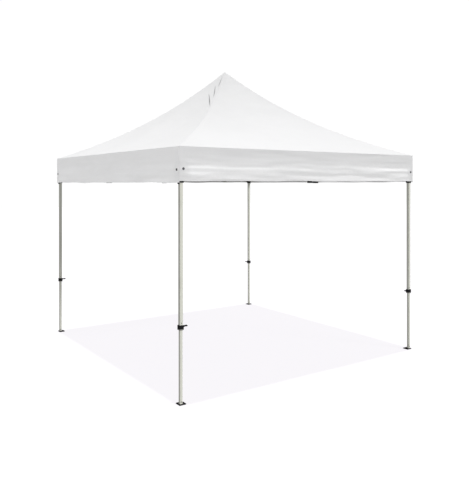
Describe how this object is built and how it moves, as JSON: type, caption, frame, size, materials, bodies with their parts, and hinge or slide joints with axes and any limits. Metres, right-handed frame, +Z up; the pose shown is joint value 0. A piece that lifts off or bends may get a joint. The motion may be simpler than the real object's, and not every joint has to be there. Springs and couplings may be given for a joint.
{
  "type": "pop up canopy",
  "caption": "Square folding canopy with a white peaked cloth roof and short valance on a scissor-truss frame, telescoping legs and flat foot plates.",
  "frame": {"origin": "centre of the four feet, on the ground", "axes": "+Z up along the mast, +X and +Y square to the sides"},
  "size_m": [3.048, 3.048, 3.1996],
  "materials": {
    "cover_cloth": "matte",
    "frame_paint": "satin",
    "black_nylon": "satin"
  },
  "bodies": {
    "canopy_and_hub": {"canopy_top": "cover_cloth", "hub_upper": "black_nylon"},
    "inner_bar_down_right": {"inner_bar_down_right": "frame_paint"},
    "inner_bar_up_right": {"inner_bar_up_right": "frame_paint"},
    "mid_joint_top_right": {"mid_joint_top_right": "black_nylon"},
    "mid_joint_bottom_right": {"mid_joint_bottom_right": "black_nylon"},
    "hub_lower": {"hub_lower": "black_nylon"},
    "mast_upper": {"mast_upper": "frame_paint"},
    "side_bar_down_right_back": {"side_bar_down_right_back": "frame_paint"},
    "side_bar_up_right_back": {"side_bar_up_right_back": "frame_paint"},
    "leg_back_right": {"leg_outer_back_right": "frame_paint", "leg_fittings_back_right": "black_nylon"},
    "slider_back_right": {"slider_back_right": "black_nylon"},
    "lock_button_back_right": {"lock_button_back_right": "black_nylon"},
    "leg_lower_back_right": {"leg_lower_back_right": "frame_paint"},
    "adjuster_lever_back_right": {"adjuster_lever_back_right": "black_nylon"},
    "side_bar_down_right_front": {"side_bar_down_right_front": "frame_paint"},
    "side_bar_up_right_front": {"side_bar_up_right_front": "frame_paint"},
    "inner_bar_down_back": {"inner_bar_down_back": "frame_paint"},
    "inner_bar_up_back": {"inner_bar_up_back": "frame_paint"},
    "mid_joint_top_back": {"mid_joint_top_back": "black_nylon"},
    "mid_joint_bottom_back": {"mid_joint_bottom_back": "black_nylon"},
    "side_bar_down_back_left": {"side_bar_down_back_left": "frame_paint"},
    "side_bar_up_back_left": {"side_bar_up_back_left": "frame_paint"},
    "leg_back_left": {"leg_outer_back_left": "frame_paint", "leg_fittings_back_left": "black_nylon"},
    "slider_back_left": {"slider_back_left": "black_nylon"},
    "lock_button_back_left": {"lock_button_back_left": "black_nylon"},
    "leg_lower_back_left": {"leg_lower_back_left": "frame_paint"},
    "adjuster_lever_back_left": {"adjuster_lever_back_left": "black_nylon"},
    "side_bar_down_back_right": {"side_bar_down_back_right": "frame_paint"},
    "side_bar_up_back_right": {"side_bar_up_back_right": "frame_paint"},
    "inner_bar_down_left": {"inner_bar_down_left": "frame_paint"},
    "inner_bar_up_left": {"inner_bar_up_left": "frame_paint"},
    "mid_joint_top_left": {"mid_joint_top_left": "black_nylon"},
    "mid_joint_bottom_left": {"mid_joint_bottom_left": "black_nylon"},
    "side_bar_down_left_front": {"side_bar_down_left_front": "frame_paint"},
    "side_bar_up_left_front": {"side_bar_up_left_front": "frame_paint"},
    "leg_front_left": {"leg_outer_front_left": "frame_paint", "leg_fittings_front_left": "black_nylon"},
    "slider_front_left": {"slider_front_left": "black_nylon"},
    "lock_button_front_left": {"lock_button_front_left": "black_nylon"},
    "leg_lower_front_left": {"leg_lower_front_left": "frame_paint"},
    "adjuster_lever_front_left": {"adjuster_lever_front_left": "black_nylon"},
    "side_bar_down_left_back": {"side_bar_down_left_back": "frame_paint"},
    "side_bar_up_left_back": {"side_bar_up_left_back": "frame_paint"},
    "inner_bar_down_front": {"inner_bar_down_front": "frame_paint"},
    "inner_bar_up_front": {"inner_bar_up_front": "frame_paint"},
    "mid_joint_top_front": {"mid_joint_top_front": "black_nylon"},
    "mid_joint_bottom_front": {"mid_joint_bottom_front": "black_nylon"},
    "side_bar_down_front_right": {"side_bar_down_front_right": "frame_paint"},
    "side_bar_up_front_right": {"side_bar_up_front_right": "frame_paint"},
    "leg_front_right": {"leg_outer_front_right": "frame_paint", "leg_fittings_front_right": "black_nylon"},
    "slider_front_right": {"slider_front_right": "black_nylon"},
    "lock_button_front_right": {"lock_button_front_right": "black_nylon"},
    "leg_lower_front_right": {"leg_lower_front_right": "frame_paint"},
    "adjuster_lever_front_right": {"adjuster_lever_front_right": "black_nylon"},
    "side_bar_down_front_left": {"side_bar_down_front_left": "frame_paint"},
    "side_bar_up_front_left": {"side_bar_up_front_left": "frame_paint"}
  },
  "joints": [
    {"name": "canopy_fold", "type": "hinge", "parent": "canopy_and_hub", "child": "inner_bar_down_right", "pos_m": [0.05, 0, 2.142], "axis": [0, 1, 0], "range_deg": [0, 78]},
    {"name": "inner_cross_right", "type": "hinge", "parent": "inner_bar_down_right", "child": "inner_bar_up_right", "pos_m": [0.751, 0, 2.0245], "axis": [0, -1, 0], "range_deg": [0, 156]},
    {"name": "mid_top_pivot_right", "type": "hinge", "parent": "inner_bar_up_right", "child": "mid_joint_top_right", "pos_m": [1.452, 0, 2.142], "axis": [0, 1, 0], "range_deg": [0, 78]},
    {"name": "mid_bottom_pivot_right", "type": "hinge", "parent": "inner_bar_down_right", "child": "mid_joint_bottom_right", "pos_m": [1.452, 0, 1.907], "axis": [0, -1, 0], "range_deg": [0, 78]},
    {"name": "hub_lower_pivot", "type": "hinge", "parent": "inner_bar_up_right", "child": "hub_lower", "pos_m": [0.05, 0, 1.907], "axis": [0, 1, 0], "range_deg": [0, 78]},
    {"name": "mast_slide", "type": "slide", "parent": "hub_lower", "child": "mast_upper", "axis": [0, 0, 1], "range_m": [0, 0.38]},
    {"name": "side_top_pivot_right_back", "type": "hinge", "parent": "mid_joint_top_right", "child": "side_bar_down_right_back", "pos_m": [1.492, 0.04, 2.142], "axis": [-1, 0, 0], "range_deg": [0, 78]},
    {"name": "side_cross_right_back", "type": "hinge", "parent": "side_bar_down_right_back", "child": "side_bar_up_right_back", "pos_m": [1.492, 0.741, 2.0245], "axis": [1, 0, 0], "range_deg": [0, 156]},
    {"name": "leg_pivot_back_right", "type": "hinge", "parent": "side_bar_up_right_back", "child": "leg_back_right", "pos_m": [1.492, 1.442, 2.142], "axis": [-1, 0, 0], "range_deg": [0, 78]},
    {"name": "slider_pivot_back_right", "type": "hinge", "parent": "side_bar_down_right_back", "child": "slider_back_right", "pos_m": [1.492, 1.442, 1.907], "axis": [1, 0, 0], "range_deg": [0, 78]},
    {"name": "leg_height_back_right", "type": "slide", "parent": "leg_back_right", "child": "leg_lower_back_right", "axis": [0, 0, 1], "range_m": [0, 0.58]},
    {"name": "lever_press_back_right", "type": "hinge", "parent": "leg_back_right", "child": "adjuster_lever_back_right", "pos_m": [1.465, 1.492, 0.66], "axis": [0, -1, 0], "range_deg": [0, 15], "stiffness_Nm_per_rad": 0.5},
    {"name": "button_press_back_right", "type": "slide", "parent": "slider_back_right", "child": "lock_button_back_right", "axis": [-1, 0, 0], "range_m": [0, 0.004], "stiffness_N_per_m": 400},
    {"name": "side_top_pivot_right_front", "type": "hinge", "parent": "mid_joint_top_right", "child": "side_bar_down_right_front", "pos_m": [1.492, -0.04, 2.142], "axis": [1, 0, 0], "range_deg": [0, 78]},
    {"name": "side_cross_right_front", "type": "hinge", "parent": "side_bar_down_right_front", "child": "side_bar_up_right_front", "pos_m": [1.492, -0.741, 2.0245], "axis": [-1, 0, 0], "range_deg": [0, 156]},
    {"name": "hub_pivot_back", "type": "hinge", "parent": "canopy_and_hub", "child": "inner_bar_down_back", "pos_m": [0, 0.05, 2.142], "axis": [-1, 0, 0], "range_deg": [0, 78]},
    {"name": "inner_cross_back", "type": "hinge", "parent": "inner_bar_down_back", "child": "inner_bar_up_back", "pos_m": [0, 0.751, 2.0245], "axis": [1, 0, 0], "range_deg": [0, 156]},
    {"name": "mid_top_pivot_back", "type": "hinge", "parent": "inner_bar_up_back", "child": "mid_joint_top_back", "pos_m": [0, 1.452, 2.142], "axis": [-1, 0, 0], "range_deg": [0, 78]},
    {"name": "mid_bottom_pivot_back", "type": "hinge", "parent": "inner_bar_down_back", "child": "mid_joint_bottom_back", "pos_m": [0, 1.452, 1.907], "axis": [1, 0, 0], "range_deg": [0, 78]},
    {"name": "side_top_pivot_back_left", "type": "hinge", "parent": "mid_joint_top_back", "child": "side_bar_down_back_left", "pos_m": [-0.04, 1.492, 2.142], "axis": [0, -1, 0], "range_deg": [0, 78]},
    {"name": "side_cross_back_left", "type": "hinge", "parent": "side_bar_down_back_left", "child": "side_bar_up_back_left", "pos_m": [-0.741, 1.492, 2.0245], "axis": [0, 1, 0], "range_deg": [0, 156]},
    {"name": "leg_pivot_back_left", "type": "hinge", "parent": "side_bar_up_back_left", "child": "leg_back_left", "pos_m": [-1.442, 1.492, 2.142], "axis": [0, -1, 0], "range_deg": [0, 78]},
    {"name": "slider_pivot_back_left", "type": "hinge", "parent": "side_bar_down_back_left", "child": "slider_back_left", "pos_m": [-1.442, 1.492, 1.907], "axis": [0, 1, 0], "range_deg": [0, 78]},
    {"name": "leg_height_back_left", "type": "slide", "parent": "leg_back_left", "child": "leg_lower_back_left", "axis": [0, 0, 1], "range_m": [0, 0.58]},
    {"name": "lever_press_back_left", "type": "hinge", "parent": "leg_back_left", "child": "adjuster_lever_back_left", "pos_m": [-1.465, 1.492, 0.66], "axis": [0, 1, 0], "range_deg": [0, 15], "stiffness_Nm_per_rad": 0.5},
    {"name": "button_press_back_left", "type": "slide", "parent": "slider_back_left", "child": "lock_button_back_left", "axis": [1, 0, 0], "range_m": [0, 0.004], "stiffness_N_per_m": 400},
    {"name": "side_top_pivot_back_right", "type": "hinge", "parent": "mid_joint_top_back", "child": "side_bar_down_back_right", "pos_m": [0.04, 1.492, 2.142], "axis": [0, 1, 0], "range_deg": [0, 78]},
    {"name": "side_cross_back_right", "type": "hinge", "parent": "side_bar_down_back_right", "child": "side_bar_up_back_right", "pos_m": [0.741, 1.492, 2.0245], "axis": [0, -1, 0], "range_deg": [0, 156]},
    {"name": "hub_pivot_left", "type": "hinge", "parent": "canopy_and_hub", "child": "inner_bar_down_left", "pos_m": [-0.05, 0, 2.142], "axis": [0, -1, 0], "range_deg": [0, 78]},
    {"name": "inner_cross_left", "type": "hinge", "parent": "inner_bar_down_left", "child": "inner_bar_up_left", "pos_m": [-0.751, 0, 2.0245], "axis": [0, 1, 0], "range_deg": [0, 156]},
    {"name": "mid_top_pivot_left", "type": "hinge", "parent": "inner_bar_up_left", "child": "mid_joint_top_left", "pos_m": [-1.452, 0, 2.142], "axis": [0, -1, 0], "range_deg": [0, 78]},
    {"name": "mid_bottom_pivot_left", "type": "hinge", "parent": "inner_bar_down_left", "child": "mid_joint_bottom_left", "pos_m": [-1.452, 0, 1.907], "axis": [0, 1, 0], "range_deg": [0, 78]},
    {"name": "side_top_pivot_left_front", "type": "hinge", "parent": "mid_joint_top_left", "child": "side_bar_down_left_front", "pos_m": [-1.492, -0.04, 2.142], "axis": [1, 0, 0], "range_deg": [0, 78]},
    {"name": "side_cross_left_front", "type": "hinge", "parent": "side_bar_down_left_front", "child": "side_bar_up_left_front", "pos_m": [-1.492, -0.741, 2.0245], "axis": [-1, 0, 0], "range_deg": [0, 156]},
    {"name": "leg_pivot_front_left", "type": "hinge", "parent": "side_bar_up_left_front", "child": "leg_front_left", "pos_m": [-1.492, -1.442, 2.142], "axis": [1, 0, 0], "range_deg": [0, 78]},
    {"name": "slider_pivot_front_left", "type": "hinge", "parent": "side_bar_down_left_front", "child": "slider_front_left", "pos_m": [-1.492, -1.442, 1.907], "axis": [-1, 0, 0], "range_deg": [0, 78]},
    {"name": "leg_height_front_left", "type": "slide", "parent": "leg_front_left", "child": "leg_lower_front_left", "axis": [0, 0, 1], "range_m": [0, 0.58]},
    {"name": "lever_press_front_left", "type": "hinge", "parent": "leg_front_left", "child": "adjuster_lever_front_left", "pos_m": [-1.465, -1.492, 0.66], "axis": [0, 1, 0], "range_deg": [0, 15], "stiffness_Nm_per_rad": 0.5},
    {"name": "button_press_front_left", "type": "slide", "parent": "slider_front_left", "child": "lock_button_front_left", "axis": [1, 0, 0], "range_m": [0, 0.004], "stiffness_N_per_m": 400},
    {"name": "side_top_pivot_left_back", "type": "hinge", "parent": "mid_joint_top_left", "child": "side_bar_down_left_back", "pos_m": [-1.492, 0.04, 2.142], "axis": [-1, 0, 0], "range_deg": [0, 78]},
    {"name": "side_cross_left_back", "type": "hinge", "parent": "side_bar_down_left_back", "child": "side_bar_up_left_back", "pos_m": [-1.492, 0.741, 2.0245], "axis": [1, 0, 0], "range_deg": [0, 156]},
    {"name": "hub_pivot_front", "type": "hinge", "parent": "canopy_and_hub", "child": "inner_bar_down_front", "pos_m": [0, -0.05, 2.142], "axis": [1, 0, 0], "range_deg": [0, 78]},
    {"name": "inner_cross_front", "type": "hinge", "parent": "inner_bar_down_front", "child": "inner_bar_up_front", "pos_m": [0, -0.751, 2.0245], "axis": [-1, 0, 0], "range_deg": [0, 156]},
    {"name": "mid_top_pivot_front", "type": "hinge", "parent": "inner_bar_up_front", "child": "mid_joint_top_front", "pos_m": [0, -1.452, 2.142], "axis": [1, 0, 0], "range_deg": [0, 78]},
    {"name": "mid_bottom_pivot_front", "type": "hinge", "parent": "inner_bar_down_front", "child": "mid_joint_bottom_front", "pos_m": [0, -1.452, 1.907], "axis": [-1, 0, 0], "range_deg": [0, 78]},
    {"name": "side_top_pivot_front_right", "type": "hinge", "parent": "mid_joint_top_front", "child": "side_bar_down_front_right", "pos_m": [0.04, -1.492, 2.142], "axis": [0, 1, 0], "range_deg": [0, 78]},
    {"name": "side_cross_front_right", "type": "hinge", "parent": "side_bar_down_front_right", "child": "side_bar_up_front_right", "pos_m": [0.741, -1.492, 2.0245], "axis": [0, -1, 0], "range_deg": [0, 156]},
    {"name": "leg_pivot_front_right", "type": "hinge", "parent": "side_bar_up_front_right", "child": "leg_front_right", "pos_m": [1.442, -1.492, 2.142], "axis": [0, 1, 0], "range_deg": [0, 78]},
    {"name": "slider_pivot_front_right", "type": "hinge", "parent": "side_bar_down_front_right", "child": "slider_front_right", "pos_m": [1.442, -1.492, 1.907], "axis": [0, -1, 0], "range_deg": [0, 78]},
    {"name": "leg_height_front_right", "type": "slide", "parent": "leg_front_right", "child": "leg_lower_front_right", "axis": [0, 0, 1], "range_m": [0, 0.58]},
    {"name": "lever_press_front_right", "type": "hinge", "parent": "leg_front_right", "child": "adjuster_lever_front_right", "pos_m": [1.465, -1.492, 0.66], "axis": [0, -1, 0], "range_deg": [0, 15], "stiffness_Nm_per_rad": 0.5},
    {"name": "button_press_front_right", "type": "slide", "parent": "slider_front_right", "child": "lock_button_front_right", "axis": [-1, 0, 0], "range_m": [0, 0.004], "stiffness_N_per_m": 400},
    {"name": "side_top_pivot_front_left", "type": "hinge", "parent": "mid_joint_top_front", "child": "side_bar_down_front_left", "pos_m": [-0.04, -1.492, 2.142], "axis": [0, -1, 0], "range_deg": [0, 78]},
    {"name": "side_cross_front_left", "type": "hinge", "parent": "side_bar_down_front_left", "child": "side_bar_up_front_left", "pos_m": [-0.741, -1.492, 2.0245], "axis": [0, 1, 0], "range_deg": [0, 156]}
  ],
  "couplings": [
    {"joint": "inner_cross_right", "follows": "canopy_fold", "ratio": 2},
    {"joint": "mid_top_pivot_right", "follows": "canopy_fold", "ratio": 1},
    {"joint": "mid_bottom_pivot_right", "follows": "canopy_fold", "ratio": 1},
    {"joint": "hub_lower_pivot", "follows": "canopy_fold", "ratio": 1},
    {"joint": "mast_slide", "follows": "canopy_fold", "m_per_rad": 0.2733},
    {"joint": "side_top_pivot_right_back", "follows": "canopy_fold", "ratio": 1},
    {"joint": "side_cross_right_back", "follows": "canopy_fold", "ratio": 2},
    {"joint": "leg_pivot_back_right", "follows": "canopy_fold", "ratio": 1},
    {"joint": "slider_pivot_back_right", "follows": "canopy_fold", "ratio": 1},
    {"joint": "side_top_pivot_right_front", "follows": "canopy_fold", "ratio": 1},
    {"joint": "side_cross_right_front", "follows": "canopy_fold", "ratio": 2},
    {"joint": "hub_pivot_back", "follows": "canopy_fold", "ratio": 1},
    {"joint": "inner_cross_back", "follows": "canopy_fold", "ratio": 2},
    {"joint": "mid_top_pivot_back", "follows": "canopy_fold", "ratio": 1},
    {"joint": "mid_bottom_pivot_back", "follows": "canopy_fold", "ratio": 1},
    {"joint": "side_top_pivot_back_left", "follows": "canopy_fold", "ratio": 1},
    {"joint": "side_cross_back_left", "follows": "canopy_fold", "ratio": 2},
    {"joint": "leg_pivot_back_left", "follows": "canopy_fold", "ratio": 1},
    {"joint": "slider_pivot_back_left", "follows": "canopy_fold", "ratio": 1},
    {"joint": "side_top_pivot_back_right", "follows": "canopy_fold", "ratio": 1},
    {"joint": "side_cross_back_right", "follows": "canopy_fold", "ratio": 2},
    {"joint": "hub_pivot_left", "follows": "canopy_fold", "ratio": 1},
    {"joint": "inner_cross_left", "follows": "canopy_fold", "ratio": 2},
    {"joint": "mid_top_pivot_left", "follows": "canopy_fold", "ratio": 1},
    {"joint": "mid_bottom_pivot_left", "follows": "canopy_fold", "ratio": 1},
    {"joint": "side_top_pivot_left_front", "follows": "canopy_fold", "ratio": 1},
    {"joint": "side_cross_left_front", "follows": "canopy_fold", "ratio": 2},
    {"joint": "leg_pivot_front_left", "follows": "canopy_fold", "ratio": 1},
    {"joint": "slider_pivot_front_left", "follows": "canopy_fold", "ratio": 1},
    {"joint": "side_top_pivot_left_back", "follows": "canopy_fold", "ratio": 1},
    {"joint": "side_cross_left_back", "follows": "canopy_fold", "ratio": 2},
    {"joint": "hub_pivot_front", "follows": "canopy_fold", "ratio": 1},
    {"joint": "inner_cross_front", "follows": "canopy_fold", "ratio": 2},
    {"joint": "mid_top_pivot_front", "follows": "canopy_fold", "ratio": 1},
    {"joint": "mid_bottom_pivot_front", "follows": "canopy_fold", "ratio": 1},
    {"joint": "side_top_pivot_front_right", "follows": "canopy_fold", "ratio": 1},
    {"joint": "side_cross_front_right", "follows": "canopy_fold", "ratio": 2},
    {"joint": "leg_pivot_front_right", "follows": "canopy_fold", "ratio": 1},
    {"joint": "slider_pivot_front_right", "follows": "canopy_fold", "ratio": 1},
    {"joint": "side_top_pivot_front_left", "follows": "canopy_fold", "ratio": 1},
    {"joint": "side_cross_front_left", "follows": "canopy_fold", "ratio": 2}
  ]
}
